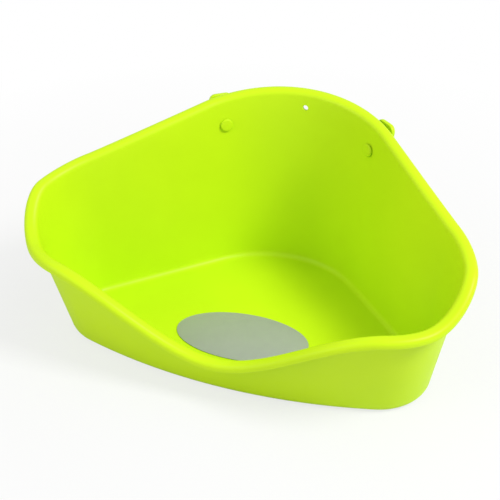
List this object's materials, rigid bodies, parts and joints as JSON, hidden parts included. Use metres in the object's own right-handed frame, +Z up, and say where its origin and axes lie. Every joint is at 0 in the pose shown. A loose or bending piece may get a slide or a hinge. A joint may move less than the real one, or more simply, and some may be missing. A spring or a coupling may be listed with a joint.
{
  "type": "corner litter pan",
  "caption": "Corner litter pan for small pets: a high-backed tray with a low bowed entry, turned-out rim, turn locks for a cage and a blank oval floor sticker.",
  "frame": {"origin": "on the flat underside, on the middle plane, level with the centres of the two side corners' base arcs", "axes": "+Z up, +Y towards the high back corner, +X to the right as seen from the low entry"},
  "size_m": [0.3002, 0.1955, 0.1344],
  "materials": {
    "pan_plastic": "smooth lime-green moulded plastic",
    "lock_plastic": "smooth lime-green moulded plastic",
    "sticker_face": "plain pale grey film, unprinted"
  },
  "bodies": {
    "pan": {"pan": "pan_plastic", "floor_sticker": "sticker_face"},
    "lock_left": {"lock_left": "lock_plastic"},
    "lock_right": {"lock_right": "lock_plastic"}
  },
  "joints": [
    {"name": "lock_left_turn", "type": "hinge", "parent": "pan", "child": "lock_left", "pos_m": [-0.05355, 0.10297, 0.10916], "axis": [-0.6123, 0.7837, -0.1045], "range_deg": [-90, 90]},
    {"name": "lock_right_turn", "type": "hinge", "parent": "pan", "child": "lock_right", "pos_m": [0.05355, 0.10297, 0.10916], "axis": [0.6123, 0.7837, -0.1045], "range_deg": [-90, 90]}
  ]
}
